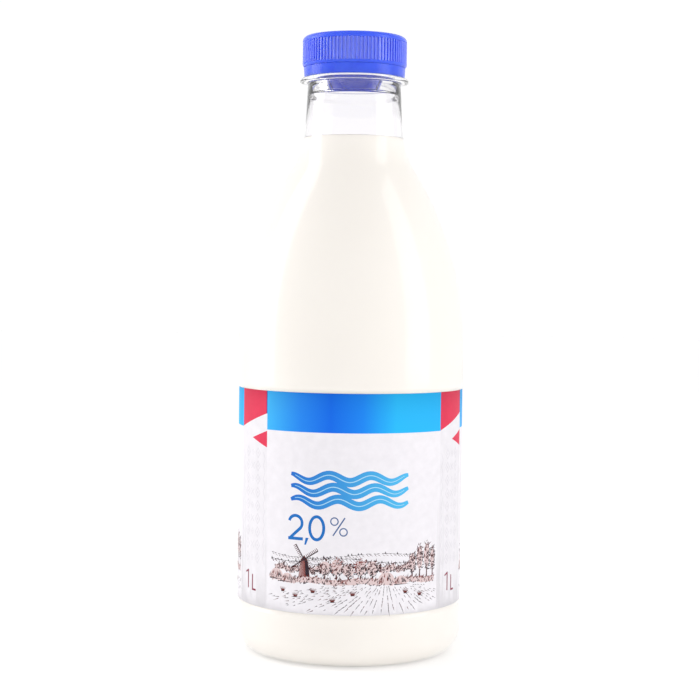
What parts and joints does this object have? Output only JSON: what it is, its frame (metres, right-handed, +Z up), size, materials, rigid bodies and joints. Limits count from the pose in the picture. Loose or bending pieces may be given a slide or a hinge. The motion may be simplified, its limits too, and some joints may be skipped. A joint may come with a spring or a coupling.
{
  "type": "milk bottle",
  "caption": "Clear plastic milk bottle with a round shoulder, filled up into the neck, with a wrap label round its side and a blue ribbed screw cap on an unbroken tamper band.",
  "frame": {"origin": "centre of the foot ring, on the plane that the bottle stands on", "axes": "+Z up along the bottle's axis; -Y towards the middle of the label's front, +X to its right"},
  "size_m": [0.088, 0.088, 0.239],
  "materials": {
    "clear_plastic": "clear colourless PET, glossy",
    "milk": "opaque creamy white liquid",
    "label_film": "white printed film, satin",
    "cap_plastic": "moulded bright blue polyethylene, satin"
  },
  "bodies": {
    "root": {"bottle": "clear_plastic", "milk": "milk", "label": "label_film", "cap": "cap_plastic"}
  },
  "joints": []
}
